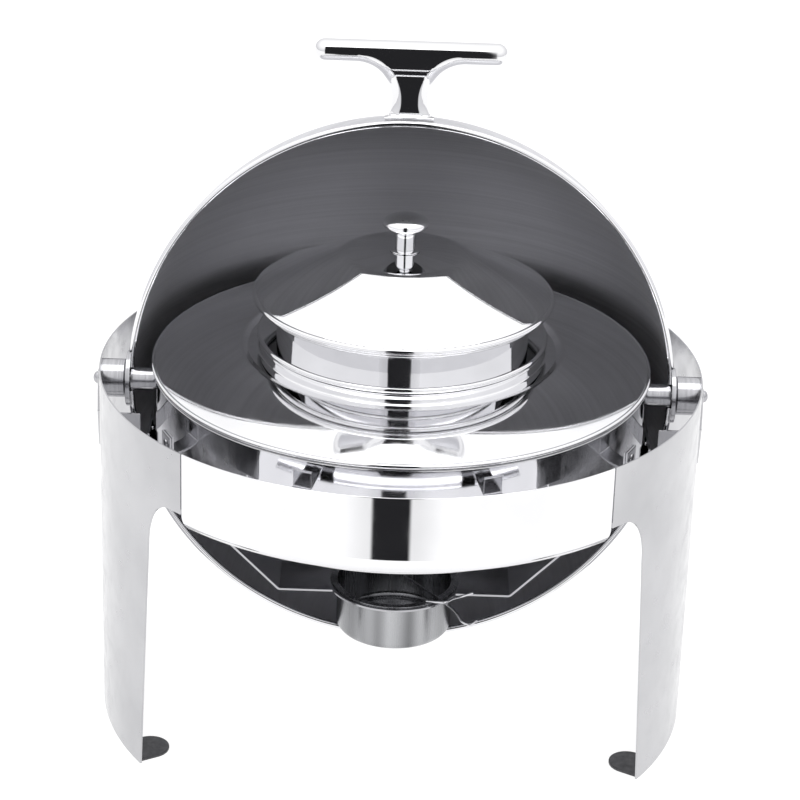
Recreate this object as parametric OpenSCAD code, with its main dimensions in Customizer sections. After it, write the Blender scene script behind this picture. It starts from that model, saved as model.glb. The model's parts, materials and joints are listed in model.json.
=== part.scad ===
// Round roll top soup chafer in stainless steel sheet, shown with its roll top open.
// Origin: centre of the four feet on the table. +Z up, -Y is the serving side, the roll top
// turns about an axis along X at hinge_z. Every radius is measured from the Z axis.

/* [Frame] */
// Outside radius of the frame
frame_r = 250; // [208:1:300]
// Height of the frame's top rim above the table
rim_z = 307; // [255:1:370]
// Sheet thickness of the frame panels
frame_t = 1.2; // [0.8:0.1:2]
// Height of the upright band above the in-turned edge
band_h = 52; // [42:1:62]
// Radius of the in-turned bottom edge of the front and rear panels
curl_r = 18; // [10:1:20]
// Angle of each seam from the front or rear centre line
seam_az = 42.2; // [36:0.1:46]
// Open width of each seam
seam_gap = 1.4; // [0.6:0.1:2]
// Width of the splice plate behind each seam
splice_w = 34; // [20:1:40]

/* [Legs] */
// Angle of the front edge of a leg at the table, from the front centre line
leg_front_az = 55.6; // [52:0.1:62]
// Angle of the rear edge of a leg at the table, from the front centre line
leg_rear_az = 110; // [100:0.5:116]
// Lean of the leg's edges, millimetres per millimetre of height
leg_lean = 0.0585; // [0:0.0005:0.08]
// Half width across the arch corner under the band
arch_w = 21.5; // [12:0.5:26]
// Height of the arch corner under the band
arch_h = 42.5; // [25:0.5:50]
// Width of each foot
foot_w = 32; // [20:1:36]
// How far each front foot reaches inwards from the leg
foot_reach = 33; // [20:1:40]
// How far each rear foot reaches inwards from the leg
rear_foot_reach = 16; // [12:1:30]
// Thickness of each foot
foot_t = 2.4; // [1.5:0.1:4]

/* [Roll top] */
// Depth of the hinge axis below the frame's rim
hinge_drop = 20; // [16:1:30]
// Opening angle of the roll top from closed
open_angle = 94.46; // [90:0.01:98]
// Space between the frame's inside and the dome's outside
outer_gap = 23.2; // [18:0.1:28]
// Sheet thickness of the dome
dome_t = 1; // [0.8:0.1:1.5]
// Radius of the wired bead round the dome's rim
rim_bead_r = 2.6; // [2:0.1:3]
// Radius of each hinge ear
ear_r = 23; // [18:1:28]
// Thickness of each hinge ear at its centre
ear_t = 2.6; // [2:0.1:4]

/* [Roll top handle] */
// Length of the handle's bar
bar_l = 158; // [120:1:180]
// Thickness of the bar and of the stem
bar_t = 18; // [12:0.5:20]
// Depth of the bar across its length
bar_d = 27; // [22:0.5:32]
// Free space between the frame's outside and the bar
bar_gap = 20; // [18:1:30]
// Width of the handle's stem
stem_w = 30; // [24:1:36]
// Radius that joins the stem to the bar
stem_fillet = 30; // [12:1:30]
// Angle of the handle above the dome's rim
handle_angle = 6.8; // [6.6:0.1:9]
// Thickness of the pad under the handle
pad_t = 3; // [2:0.5:5]

/* [Hinges] */
// Radius of the pivot pins
pin_r = 4; // [3:0.5:5]
// Radial running clearance of an ear on its pin
pin_clear = 0.05; // [0.02:0.01:0.1]
// Radius of the outer boss between frame and ear
boss_r = 16; // [12:0.5:18]
// Radius of the inner sleeve between ear and well
sleeve_r = 9.5; // [7:0.5:12]
// Free play along the axis beside each ear
ear_play = 0.4; // [0.3:0.1:1]
// Thickness of the hinge washers
washer_t = 1; // [0.6:0.1:1.6]
// Thickness of the shield shaped hinge covers
cover_t = 2.5; // [1.5:0.1:3]
// Drop of the cover's tip below the hinge axis
cover_drop = 62; // [40:1:70]
// Height of the pin heads
pin_head_h = 4; // [3:0.5:5]
// Depth of the lid stops below the hinge axis
stop_drop = 35; // [30:1:45]

/* [Well and water pan] */
// Space between the dome's inside and the well's outside
inner_gap = 18.6; // [15:0.1:24]
// Sheet thickness of the well
well_t = 1.2; // [0.8:0.1:2]
// Depth of the well
well_h = 98.5; // [80:0.5:110]
// Height of the well's top above the frame's rim
well_rise = 1.5; // [0:0.1:4]
// Corner radius of the well
well_corner = 24; // [16:0.5:28]
// Width of the well's bottom flange inside its corner
well_flange = 17; // [10:1:30]
// Sheet thickness of the water pan, adaptor, pot and pot lid
pan_t = 1; // [0.8:0.1:1.2]
// Radial clearance between the water pan and the well
pan_clear = 1; // [0.5:0.1:2]

/* [Adaptor] */
// Radius of the adaptor's crest
crest_r = 134; // [128:0.5:142]
// Height of the crest above the frame's rim
crest_rise = 20; // [14:0.5:24]
// Radius of the collar that carries the pot
collar_r = 117.6; // [112:0.1:118]
// Height of the collar's top above the crest
collar_rise = 6.4; // [4:0.1:10]
// Radius of the rolled bead at the adaptor's outside
adaptor_bead_r = 1.9; // [1.4:0.1:2.4]

/* [Soup pot] */
// Outside radius of the pot's wall
pot_r = 104; // [92:0.5:108]
// Height of the pot's rim above its flange
pot_neck = 30.8; // [24:0.2:40]
// Inside depth of the pot below its flange
pot_depth = 110; // [80:1:112]
// Radius of the pot's rolled beads
pot_bead_r = 2.6; // [2:0.1:3]

/* [Pot lid] */
// Radius of the bead circle on the pot lid
lid_bead_circle = 121.4; // [119.6:0.1:122.4]
// Slope of the lid's flank
lid_slope = 25.2; // [18:0.1:26]
// Radius where the flank turns into the crown
lid_crown_r = 55; // [40:1:70]
// Radius of that turn
lid_turn_r = 25; // [15:1:30]
// Radius of the knob's cap
knob_r = 19; // [15:0.5:22]
// Height of the knob's cap
knob_h = 14; // [10:0.5:16]
// Radius of the knob's stem
knob_stem_r = 8.5; // [6:0.5:10]
// Height of the knob's stem
knob_stem_h = 15; // [10:0.5:18]

/* [Burner] */
// Outside radius of the fuel cup
cup_r = 49; // [40:0.5:52]
// Height of the fuel cup
cup_h = 44; // [35:0.5:55]
// Corner radius at the cup's bottom
cup_corner = 6; // [4:0.5:20]
// Distance of the burner in front of the centre
burner_front = 15; // [0:0.5:18]
// Space between the turning bead of the roll top and the cup
cup_clear = 1.4; // [1.2:0.1:4]
// Sheet thickness of the cup
cup_t = 1; // [0.8:0.1:1.5]
// Thickness of the burner strap
strap_t = 2; // [1.5:0.1:3]
// Width of the burner strap
strap_w = 50; // [36:1:56]
// Distance of each bend of the strap from the centre
strap_knee = 98; // [85:1:110]
// Outside radius of the ring in the middle of the strap
ring_r = 58; // [58:0.5:68]
// Reach of the wire handle from the cup's centre
wire_reach = 64; // [60:0.5:68]
// Radius of the handle wire
wire_r = 1.1; // [0.8:0.1:1.5]

/* [Hidden] */
$fn = 96;
eps = 0.01;
fine_fn = 480;       // for thin pieces that seat on the dome
fit_gap = 0.3;       // gap between pieces that lift apart
seat_gap = 0.1;      // gap where a bent strap lies along the well
rivet_r = 2;         // shank radius of the rivets
rivet_head_r = 3.6;
rivet_head_h = 1.8;
screw_r = 2;         // shank radius of the handle and knob screws
screw_head_r = 3.6;
screw_head_h = 1.6;

hinge_z = rim_z - hinge_drop;
frame_ri = frame_r - frame_t;
band_z = rim_z - band_h;
arch_z = band_z - 0.5;
dome_r = frame_ri - outer_gap;
dome_ri = dome_r - dome_t;
rim_bead_circle = dome_r - 0.6;
bead_inner = rim_bead_circle - rim_bead_r;
ear_x = dome_r + ear_t;
well_r = dome_ri - inner_gap;
well_ri = well_r - well_t;
well_z = rim_z + well_rise;
well_bottom = well_z - well_h;

bar_u = frame_r + bar_gap;           // reach of the bar's underside from the hinge axis
pad_u = dome_r + pad_t;              // reach of the pad's top from the hinge axis
screw_pitch = stem_w * 0.45;
handle_screw_x = screw_pitch / 2 + 1;

pan_rim_z = well_z + pan_t;
pan_r = well_ri - pan_clear;
pan_bottom = well_bottom + well_t + fit_gap;
adaptor_bead_z = pan_rim_z + adaptor_bead_r + fit_gap;
adaptor_circle = well_r + 1 - adaptor_bead_r;
crest_z = rim_z + crest_rise;
collar_z = crest_z + collar_rise;

pot_flange_z = collar_z + fit_gap + pot_bead_r;    // centre of the flange bead
pot_rim_z = pot_flange_z + pot_neck;               // centre of the rim bead
pot_bead_circle = collar_r - 0.2;
pot_bottom = pot_flange_z - pot_depth;
lid_rim_dr = lid_bead_circle - pot_bead_circle;
lid_rim_z = pot_rim_z + sqrt(pow(2 * pot_bead_r + fit_gap, 2) - pow(lid_rim_dr, 2));
crown_z = lid_rim_z + 2.2 + (lid_bead_circle - lid_crown_r) * tan(lid_slope);
lid_top_slope = 3.9;
turn_c = [lid_crown_r - lid_turn_r * sin(lid_slope), crown_z - lid_turn_r * cos(lid_slope)];
turn_end = turn_c + lid_turn_r * [sin(lid_top_slope), cos(lid_top_slope)];
lid_flat_r = 3;
lid_top_z = turn_end[1] + (turn_end[0] - lid_flat_r) * tan(lid_top_slope);
knob_z = lid_top_z + pan_t / 2;
knob_washer_h = 1.2;

cup_y = -burner_front;
cup_flat = cup_r - cup_corner;
cup_reach = sqrt(pow(cup_flat, 2) + pow(burner_front, 2));
cup_bottom = hinge_z - sqrt(pow(bead_inner - cup_clear, 2) - pow(cup_reach, 2));
strap_z = cup_bottom + cup_h;        // top face of the strap's flat
cup_flange_r = cup_r + 6;
cup_hole_r = cup_r + 1.2;
wire_z = strap_z + cup_t + wire_r;
strap_c = [well_r - well_corner, well_bottom + well_corner];
strap_bend = well_corner + seat_gap + strap_t / 2;
strap_dx = strap_c[0] - strap_knee;
strap_dz = strap_c[1] - strap_z + strap_t / 2;
strap_rise = atan2(strap_dz, strap_dx) - asin(strap_bend / norm([strap_dx, strap_dz]));
strap_top = hinge_z - 32;
strap_rivet_y = 11;
strap_rivet_z = strap_top - 8;

// ---- helpers ----

// Points of an arc about c, from angle a to angle b
function arc(c, r, a, b, n = 8) =
    [for (i = [0:n]) c + r * [cos(a + (b - a) * i / n), sin(a + (b - a) * i / n)]];

// Unit normal of a path at point i, to the left of its direction
function path_normal(p, i) =
    let (d = p[min(i + 1, len(p) - 1)] - p[max(i - 1, 0)])
    [-d[1], d[0]] / norm(d);

// Outline of a sheet of thickness t along a centre line
function sheet(p, t) = concat(
    [for (i = [0:len(p) - 1]) p[i] + path_normal(p, i) * t / 2],
    [for (i = [len(p) - 1:-1:0]) p[i] - path_normal(p, i) * t / 2]
);

// Sector of a turned section, centred on an angle from the front centre line
module sector(az, span) {
    rotate([0, 0, az - 90 - span / 2]) rotate_extrude(angle = span) children();
}

// Moves a piece modelled with the roll top closed, hinge axis at the origin, to the open place
module opened() {
    translate([0, 0, hinge_z]) rotate([-open_angle, 0, 0]) children();
}

// Cylinder along +X from x0 to x1 at height z
module x_cylinder(r, x0, x1, y = 0, z = 0) {
    translate([x0, y, z]) rotate([0, 90, 0]) cylinder(r = r, h = x1 - x0);
}

// Repeats a piece modelled at +X on the other side
module both_sides() {
    children();
    mirror([1, 0, 0]) children();
}

module bead(circle_r, z, r) {
    rotate_extrude() translate([circle_r, z]) circle(r = r, $fn = 48);
}

// ---- frame ----

half_gap_az = asin(seam_gap / 2 / frame_r);
panel_span = 2 * (seam_az - half_gap_az);
leg_span = 180 - 2 * (seam_az + half_gap_az);

module end_panel_section() {
    top = [frame_r - frame_t / 2, rim_z];
    turn = arc([frame_r - curl_r, band_z], curl_r - frame_t / 2, 0, -90, 10);
    polygon(sheet(concat([top], turn), frame_t));
}

module front_panel() {
    color("gainsboro") sector(0, panel_span) end_panel_section();
}

module rear_panel() {
    color("gainsboro") sector(180, panel_span) end_panel_section();
}

// Outline to cut away in side view on one side of a leg; dir is -1 in front and 1 at the rear
module leg_cut(y0, dir, lean) {
    corner_z = arch_z - arch_h;
    y1 = y0 + lean * corner_z;
    corner = [for (i = [0:10]) [y1 + dir * arch_w * (1 - cos(9 * i)), corner_z + arch_h * sin(9 * i)]];
    far = dir * (frame_r + 10);
    polygon(concat([[far, -1], [y0 - lean, -1]], corner, [[far, arch_z]]));
}

module leg_panel() {
    y_front = -frame_r * cos(leg_front_az);
    y_rear = -frame_r * cos(leg_rear_az);
    difference() {
        sector(90, leg_span) translate([frame_ri, 0]) square([frame_t, rim_z]);
        rotate([90, 0, 90]) linear_extrude(height = frame_r + 20) {
            leg_cut(y_front, -1, -leg_lean);
            leg_cut(y_rear, 1, leg_lean * 0.7);
        }
        x_cylinder(pin_r, frame_r - 20, frame_r + 10, 0, hinge_z);
    }
}

module leg_panel_right() {
    color("silver") leg_panel();
}

module leg_panel_left() {
    color("silver") mirror([1, 0, 0]) leg_panel();
}

module splice_plates() {
    span = 2 * asin(splice_w / 2 / frame_ri);
    color("darkgray") for (az = [seam_az, -seam_az, 180 - seam_az, 180 + seam_az])
        sector(az, span) translate([frame_ri - frame_t, band_z + 3]) square([frame_t, band_h - 7]);
}

// Foot with its straight side on the leg and a round tip, at an angle from the front centre line
module foot(az, reach) {
    half = foot_w / 2;
    far = frame_r + foot_w;
    tip = arc([frame_ri - reach + half, 0], half, 90, 270, 16);
    color("dimgray") intersection() {
        rotate([0, 0, az - 90]) linear_extrude(height = foot_t)
            polygon(concat(tip, [[far, -half], [far, half]]));
        translate([0, 0, -1]) cylinder(r = frame_ri, h = foot_t + 2, $fn = 180);
    }
}

foot_half_az = asin(foot_w / 2 / frame_ri);
foot_front_az = leg_front_az + foot_half_az + 0.5;
foot_rear_az = leg_rear_az - foot_half_az - 0.5;

module foot_front_right() {
    foot(foot_front_az, foot_reach);
}

module foot_front_left() {
    foot(-foot_front_az, foot_reach);
}

module foot_rear_right() {
    foot(foot_rear_az, rear_foot_reach);
}

module foot_rear_left() {
    foot(-foot_rear_az, rear_foot_reach);
}

// ---- hinges ----

// Shield outline about the hinge axis, with up along +Y
module shield_outline() {
    wide_r = 15;
    wide_y = -20;
    top_r = 8;
    tip_r = 4;
    tip_y = tip_r - cover_drop;
    top_a = asin((wide_r - top_r) / -wide_y);
    tip_a = asin((wide_r - tip_r) / (wide_y - tip_y));
    side = concat(
        arc([0, 0], top_r, 90, -top_a, 6),
        arc([0, wide_y], wide_r, -top_a + 0.1, -tip_a, 6),
        arc([0, tip_y], tip_r, -tip_a - 0.1, -90, 6)
    );
    polygon(concat(side, [for (i = [len(side) - 2:-1:1]) [-side[i][0], side[i][1]]]));
}

module hinge_cover() {
    difference() {
        intersection() {
            translate([frame_r - 20, 0, hinge_z]) rotate([90, 0, 90])
                linear_extrude(height = 30) shield_outline();
            difference() {
                cylinder(r = frame_r + cover_t, h = rim_z, $fn = 180);
                translate([0, 0, -1]) cylinder(r = frame_r, h = rim_z + 2, $fn = 180);
            }
        }
        x_cylinder(pin_r, frame_r - 20, frame_r + 10, 0, hinge_z);
    }
}

module hinge_cover_right() {
    color("silver") hinge_cover();
}

module hinge_cover_left() {
    color("silver") mirror([1, 0, 0]) hinge_cover();
}

pin_x0 = well_r + 5;
pin_x1 = frame_r + cover_t;

module pivot_pin() {
    head_r = pin_r + 1.2;
    dome = [for (a = [15:15:90]) [head_r * cos(a), pin_head_h * sin(a)]];
    x_cylinder(pin_r, pin_x0, pin_x1 + eps, 0, hinge_z);
    translate([pin_x1, 0, hinge_z]) rotate([0, 90, 0]) rotate_extrude()
        polygon(concat([[0, 0], [head_r, 0]], dome));
}

module pivot_pin_right() {
    color("silver") pivot_pin();
}

module pivot_pin_left() {
    color("silver") mirror([1, 0, 0]) pivot_pin();
}

washer_x = ear_x + ear_play;
boss_x = washer_x + washer_t;

module outer_bosses() {
    color("lightgray") both_sides() difference() {
        intersection() {
            x_cylinder(boss_r, boss_x, frame_r, 0, hinge_z);
            cylinder(r = frame_ri, h = rim_z + 20, $fn = 180);
        }
        x_cylinder(pin_r, boss_x - 1, frame_r + 1, 0, hinge_z);
    }
}

module hinge_washers() {
    color("gray") both_sides() difference() {
        x_cylinder(boss_r - 3, washer_x, boss_x, 0, hinge_z);
        x_cylinder(pin_r, washer_x - 1, boss_x + 1, 0, hinge_z);
    }
}

module inner_sleeves() {
    sleeve_x = dome_r - ear_play - pow(sleeve_r, 2) / 2 / dome_r;
    color("lightgray") both_sides() difference() {
        x_cylinder(sleeve_r, well_r - 3, sleeve_x, 0, hinge_z);
        x_cylinder(pin_r, pin_x0, sleeve_x + 1, 0, hinge_z);
        cylinder(r = well_r, h = rim_z + 20, $fn = 180);
    }
}

bumper_r = 5;
bumper_l = 4;
stop_t = 2;
stop_tab_h = 16;
// Front face of the bead at the stops, with the roll top open
stop_y = -(stop_drop + bumper_r) * tan(open_angle - 90) - (rim_bead_r + fit_gap) / cos(open_angle - 90);
stop_x = sqrt(pow(rim_bead_circle, 2) - pow(stop_drop, 2));

module lid_stops() {
    z0 = hinge_z - stop_drop - stop_tab_h / 2;
    color("silver") both_sides() intersection() {
        translate([stop_x - 6, stop_y - bumper_l - stop_t, z0]) cube([60, stop_t, stop_tab_h]);
        cylinder(r = frame_ri, h = rim_z, $fn = 180);
    }
}

module stop_bumpers() {
    color("dimgray") both_sides()
        translate([stop_x, stop_y, hinge_z - stop_drop]) rotate([90, 0, 0])
            cylinder(r = bumper_r, h = bumper_l);
}

// ---- roll top, modelled closed about the hinge axis ----

module hinge_notch() {
    x_cylinder(sleeve_r + 1, -frame_r, frame_r);
}

module handle_screw_holes() {
    on_handle() for (x = [-handle_screw_x, handle_screw_x])
        translate([x, dome_ri - 10, 0]) rotate([-90, 0, 0]) cylinder(r = screw_r, h = 40);
}

// Frame of the handle: +X along the bar, +Y outwards from the hinge axis
module on_handle() {
    rotate([180 - handle_angle, 0, 0]) children();
}

module roll_top_dome() {
    color("gray") opened() difference() {
        sphere(r = dome_r, $fn = 180);
        sphere(r = dome_ri, $fn = 180);
        translate([0, 0, -dome_r]) cube(2 * dome_r, center = true);
        rim_bead_shape();
        hinge_notch();
        handle_screw_holes();
    }
}

module rim_bead_shape() {
    rotate_extrude($fn = 180) translate([rim_bead_circle, 0]) circle(r = rim_bead_r, $fn = 48);
}

module rim_bead() {
    color("silver") opened() difference() {
        rim_bead_shape();
        hinge_notch();
    }
}

module hinge_ear() {
    difference() {
        x_cylinder(ear_r, dome_r - 6, ear_x);
        sphere(r = dome_r, $fn = fine_fn);
        rim_bead_shape();
        x_cylinder(pin_r + pin_clear, dome_r - 10, ear_x + 1);
    }
}

module hinge_ear_right() {
    color("silver") opened() hinge_ear();
}

module hinge_ear_left() {
    color("silver") opened() mirror([1, 0, 0]) hinge_ear();
}

module bar_outline() {
    half = stem_w / 2;
    side = concat(
        [[half + 2, pad_u], [half, pad_u + 8]],
        arc([half + stem_fillet, bar_u - stem_fillet], stem_fillet, 180, 90, 10),
        arc([bar_l / 2 - bar_t / 2, bar_u + bar_t / 2], bar_t / 2, -90, 90, 8)
    );
    polygon(concat(side, [for (i = [len(side) - 1:-1:0]) [-side[i][0], side[i][1]]]));
}

module handle() {
    x = bar_l / 2 - bar_t / 2;
    z = bar_d / 2 - bar_t / 2;
    u = bar_u + bar_t / 2;
    color("silver") opened() difference() {
        on_handle() {
            translate([0, 0, -bar_t / 2]) linear_extrude(height = bar_t) bar_outline();
            translate([-x, bar_u, -z]) cube([2 * x, bar_t, 2 * z]);
            for (s = [-1, 1]) {
                x_cylinder(bar_t / 2, -x, x, u, s * z);
                translate([s * x, u, -z]) cylinder(r = bar_t / 2, h = 2 * z);
                for (v = [-1, 1]) translate([s * x, u, v * z]) sphere(r = bar_t / 2);
            }
        }
        on_handle() for (x = [-handle_screw_x, handle_screw_x])
            translate([x, pad_u - 1, 0]) rotate([-90, 0, 0]) cylinder(r = screw_r, h = 13);
    }
}

module handle_pad() {
    w = stem_w + 10;
    d = bar_t + 4;
    color("silver") opened() difference() {
        on_handle() translate([-w / 2, dome_r - 4, -d / 2]) cube([w, pad_t + 4, d]);
        sphere(r = dome_r, $fn = fine_fn);
        handle_screw_holes();
    }
}

module handle_screws() {
    head_u = dome_ri - 0.4 - screw_head_h;
    color("silver") opened() on_handle() for (x = [-handle_screw_x, handle_screw_x])
        translate([x, head_u, 0]) rotate([-90, 0, 0]) {
            cylinder(r = screw_head_r, h = screw_head_h);
            cylinder(r = screw_r, h = pad_u + 10 - head_u);
        }
}

// ---- well and its brackets ----

bracket_az = [-65, -25, 25, 65];
bracket_z = hinge_z - 25;
bracket_h = 14;
bracket_t = 2;
bracket_span = 5;
bracket_rivet_z = bracket_z + bracket_h / 2 + bracket_t / 2;

module at_brackets() {
    for (az = bracket_az) rotate([0, 0, az - 90]) children();
}

module strap_rivet_places() {
    both_sides() for (y = [-strap_rivet_y, strap_rivet_y]) translate([0, y, strap_rivet_z]) children();
}

module rivet_holes() {
    at_brackets() x_cylinder(rivet_r, well_r - 10, well_r + 10, 0, bracket_rivet_z);
    strap_rivet_places() x_cylinder(rivet_r, well_r - 10, well_r + 10);
}

module well() {
    c = well_r - well_t / 2;
    path = concat(
        [[c, well_z]],
        arc([well_r - well_corner, well_bottom + well_corner], well_corner - well_t / 2, 0, -90, 12),
        [[well_r - well_corner - well_flange, well_bottom + well_t / 2]]
    );
    color("gray") difference() {
        rotate_extrude($fn = 180) polygon(sheet(path, well_t));
        rivet_holes();
    }
}

module well_brackets() {
    color("darkgray") difference() {
        for (az = bracket_az) sector(az, bracket_span) {
            translate([well_r, bracket_z]) square([frame_ri - well_r, bracket_t]);
            translate([well_r, bracket_z]) square([bracket_t, bracket_h + bracket_t]);
            translate([frame_ri - bracket_t, bracket_z]) square([bracket_t, bracket_h + bracket_t]);
        }
        rivet_holes();
    }
}

// Rivet along +X: flush inner end at x0, domed head on the face at x1
module rivet(x0, x1) {
    x_cylinder(rivet_r, x0, x1 + eps);
    translate([x1, 0, 0]) rotate([0, 90, 0]) rotate_extrude()
        polygon(concat([[0, 0]], [for (a = [0:15:90]) [rivet_head_r * cos(a), rivet_head_h * sin(a)]]));
}

module bracket_rivets() {
    color("silver") at_brackets() translate([0, 0, bracket_rivet_z])
        rivet(well_ri + 0.1, well_r + bracket_t);
}

module water_pan() {
    corner = well_corner - well_t;
    c = pan_r - pan_t / 2;
    z = pan_bottom + pan_t / 2;
    path = concat(
        [[well_r, pan_rim_z - pan_t / 2]],
        arc([c + 1.5, pan_rim_z - pan_t / 2 - 1.5], 1.5, 90, 180, 4),
        arc([c + pan_t / 2 - corner, z - pan_t / 2 + corner], corner - pan_t / 2, 0, -90, 12),
        [[0, z]]
    );
    color("silver") rotate_extrude($fn = 180) polygon(sheet(path, pan_t));
}

module adaptor() {
    turn = 6;
    slope = atan((crest_z - adaptor_bead_z) / (adaptor_circle - crest_r));
    groove = [crest_r - 7, crest_z - 3.2];
    path = concat(
        [[adaptor_circle, adaptor_bead_z + adaptor_bead_r - pan_t / 2]],
        arc([crest_r, crest_z - turn], turn - pan_t / 2, 90 - slope, 125, 8),
        arc(groove + [0, 3], 3, 305, 270, 4),
        [[collar_r + 3, groove[1]]],
        arc([collar_r + 2.5, groove[1] + 2.5], 2.5, 250, 180, 4),
        arc([collar_r - 1.5, collar_z - 2 - pan_t / 2], 1.5, 0, 90, 4),
        [[collar_r - 5, collar_z - 0.5 - pan_t / 2]]
    );
    color("gainsboro") rotate_extrude($fn = 180) difference() {
        polygon(sheet(path, pan_t));
        translate([adaptor_circle, adaptor_bead_z]) circle(r = adaptor_bead_r, $fn = 48);
    }
}

module adaptor_bead() {
    color("silver") bead(adaptor_circle, adaptor_bead_z, adaptor_bead_r);
}

// ---- soup pot and its lid ----

module soup_pot() {
    c = pot_r - pan_t / 2;
    corner = 18;
    lip_z = pot_rim_z + pot_bead_r - pan_t / 2;
    path = concat(
        [[pot_bead_circle, lip_z]],
        arc([c + 3, lip_z - 3], 3, 90, 180, 6),
        arc([c - corner, pot_bottom + pan_t / 2 + corner], corner, 0, -90, 10),
        [[0, pot_bottom + pan_t / 2]]
    );
    color("gainsboro") rotate_extrude($fn = 180) difference() {
        polygon(sheet(path, pan_t));
        translate([pot_bead_circle, pot_rim_z]) circle(r = pot_bead_r, $fn = 48);
    }
}

module pot_rim_bead() {
    color("silver") bead(pot_bead_circle, pot_rim_z, pot_bead_r);
}

module pot_flange() {
    z = pot_flange_z + pot_bead_r - pan_t;
    color("silver") {
        bead(pot_bead_circle, pot_flange_z, pot_bead_r);
        rotate_extrude($fn = 180) translate([pot_r, z]) square([pot_bead_circle - pot_r, pan_t]);
    }
}

module pot_lid() {
    path = concat(
        [[lid_bead_circle, lid_rim_z + pot_bead_r - 0.1]],
        [[lid_bead_circle - 4, crown_z - (lid_bead_circle - 4 - lid_crown_r) * tan(lid_slope)]],
        arc(turn_c, lid_turn_r, 90 - lid_slope, 90 - lid_top_slope, 6),
        [[lid_flat_r, lid_top_z], [0, lid_top_z]]
    );
    color("gainsboro") difference() {
        rotate_extrude($fn = 180) difference() {
            polygon(sheet(path, pan_t));
            translate([lid_bead_circle, lid_rim_z]) circle(r = pot_bead_r, $fn = 48);
        }
        translate([0, 0, lid_top_z - 5]) cylinder(r = screw_r, h = 10);
    }
}

module pot_lid_bead() {
    color("silver") bead(lid_bead_circle, lid_rim_z, pot_bead_r);
}

module knob_washer() {
    reach = 30;
    depth = 8;
    skirt = 0.4;      // how far the washer reaches down over the lid's slope
    color("silver") difference() {
        translate([0, 0, knob_z - pan_t / 2 - skirt]) cylinder(
            r1 = knob_stem_r + 4, r2 = knob_stem_r + 1.5, h = knob_washer_h + pan_t / 2 + skirt);
        translate([0, 0, knob_z - depth]) cylinder(r = screw_r, h = 2 * depth);
        rotate_extrude($fn = 180) polygon([
            [0, knob_z], [lid_flat_r, knob_z],
            [reach, knob_z - (reach - lid_flat_r) * tan(lid_top_slope)],
            [reach, knob_z - depth], [0, knob_z - depth],
        ]);
    }
}

stem_z = knob_z + knob_washer_h;
cap_z = stem_z + knob_stem_h;

module knob_stem() {
    color("silver") difference() {
        rotate_extrude() polygon(concat(
            [[0, stem_z], [knob_stem_r, stem_z]],
            arc([knob_stem_r - 2.5, cap_z - 2.5], 2.5, 0, 90, 5),
            [[0, cap_z]]
        ));
        translate([0, 0, stem_z - 1]) cylinder(r = screw_r, h = 9);
    }
}

module knob_cap() {
    neck = knob_stem_r - 3.5;
    edge_z = cap_z + knob_h * 0.5;
    color("silver") rotate_extrude() polygon(concat(
        [[0, cap_z], [neck, cap_z], [neck + 1, cap_z + 1.5]],
        [for (a = [-60:15:0]) [knob_r - 7 + 7 * cos(a), edge_z + 5 * sin(a)]],
        [for (a = [15:15:90]) [knob_r * cos(a), edge_z + knob_h * 0.5 * sin(a)]]
    ));
}

module knob_screw() {
    head_z = lid_top_z - pan_t / 2 - 0.4 - screw_head_h;
    color("silver") {
        translate([0, 0, head_z]) cylinder(r = screw_head_r, h = screw_head_h);
        translate([0, 0, head_z]) cylinder(r = screw_r, h = stem_z + 7 - head_z);
    }
}

// ---- burner ----

module strap_profile() {
    z = strap_z - strap_t / 2;
    knee = [strap_knee, z];
    right = concat(
        arc(knee + [-4 * tan(strap_rise / 2), 4], 4, -90, strap_rise - 90, 4),
        arc(strap_c, strap_bend, strap_rise - 90, 0, 6),
        [[well_r + seat_gap + strap_t / 2, strap_top]]
    );
    left = [for (i = [len(right) - 1:-1:0]) [-right[i][0], right[i][1]]];
    polygon(sheet(concat(left, right), strap_t));
}

module burner_strap() {
    color("gray") difference() {
        union() {
            translate([0, cup_y + strap_w / 2, 0]) rotate([90, 0, 0])
                linear_extrude(height = strap_w) strap_profile();
            translate([0, cup_y, strap_z - strap_t]) cylinder(r = ring_r, h = strap_t);
        }
        translate([0, cup_y, strap_z - strap_t - 1]) cylinder(r = cup_hole_r, h = strap_t + 2);
        strap_rivet_places() x_cylinder(rivet_r, well_r - 10, well_r + 10);
    }
}

module strap_rivets() {
    x0 = sqrt(pow(well_ri, 2) - pow(strap_rivet_y, 2)) + 0.1;
    color("silver") strap_rivet_places() rivet(x0, well_r + seat_gap + strap_t);
}

module fuel_cup() {
    c = cup_r - cup_t / 2;
    path = concat(
        [[cup_flange_r, strap_z + cup_t / 2]],
        arc([c + 1.5, strap_z + cup_t / 2 - 1.5], 1.5, 90, 180, 4),
        arc([cup_flat, cup_bottom + cup_corner], cup_corner - cup_t / 2, 0, -90, 8),
        [[0, cup_bottom + cup_t / 2]]
    );
    color("silver") translate([0, cup_y, 0]) rotate_extrude() polygon(sheet(path, cup_t));
}

// Closed tube with flat ends along a route of points
module tube(route, r, sides = 8) {
    n = len(route);
    function dir(i) = let (d = route[min(i + 1, n - 1)] - route[max(i - 1, 0)]) d / norm(d);
    function side(i) = let (s = cross(dir(i), [0, 0, 1])) s / norm(s);
    rings = [for (i = [0:n - 1], k = [0:sides - 1])
        route[i] + r * (cos(360 * k / sides) * side(i) + sin(360 * k / sides) * cross(dir(i), side(i)))];
    walls = [for (i = [0:n - 2], k = [0:sides - 1])
        let (a = i * sides, b = (k + 1) % sides) [a + k, a + b, a + b + sides, a + k + sides]];
    ends = [[for (k = [sides - 1:-1:0]) k], [for (k = [0:sides - 1]) (n - 1) * sides + k]];
    polyhedron(points = rings, faces = concat(walls, ends));
}

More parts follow.
